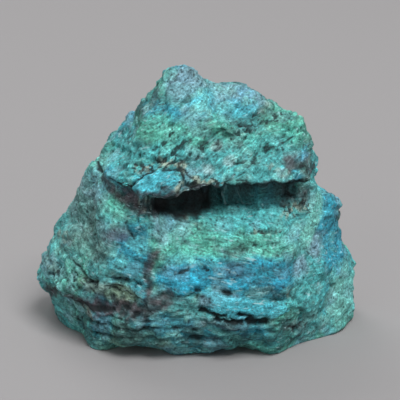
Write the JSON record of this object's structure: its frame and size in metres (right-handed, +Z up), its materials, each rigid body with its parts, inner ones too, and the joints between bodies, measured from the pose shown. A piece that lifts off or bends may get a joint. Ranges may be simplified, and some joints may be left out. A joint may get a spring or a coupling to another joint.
{
  "type": "chrysocolla hand specimen",
  "caption": "Rough natural chunk of blue-green stone standing on a flat worn base, with a ledge that overhangs a dark hollow in front.",
  "frame": {"origin": "under the middle of the stone's bounding box, at the level of its base", "axes": "+Z up from the base, +X along the longest side to the right, -Y towards the front with the ledge"},
  "size_m": [0.0816, 0.0576, 0.0655],
  "materials": {
    "stone": "rough, finely granular, patches of turquoise, blue, green and grey-lavender with dark brown seams"
  },
  "bodies": {
    "root": {"chrysocolla_stone": "stone"}
  },
  "joints": []
}
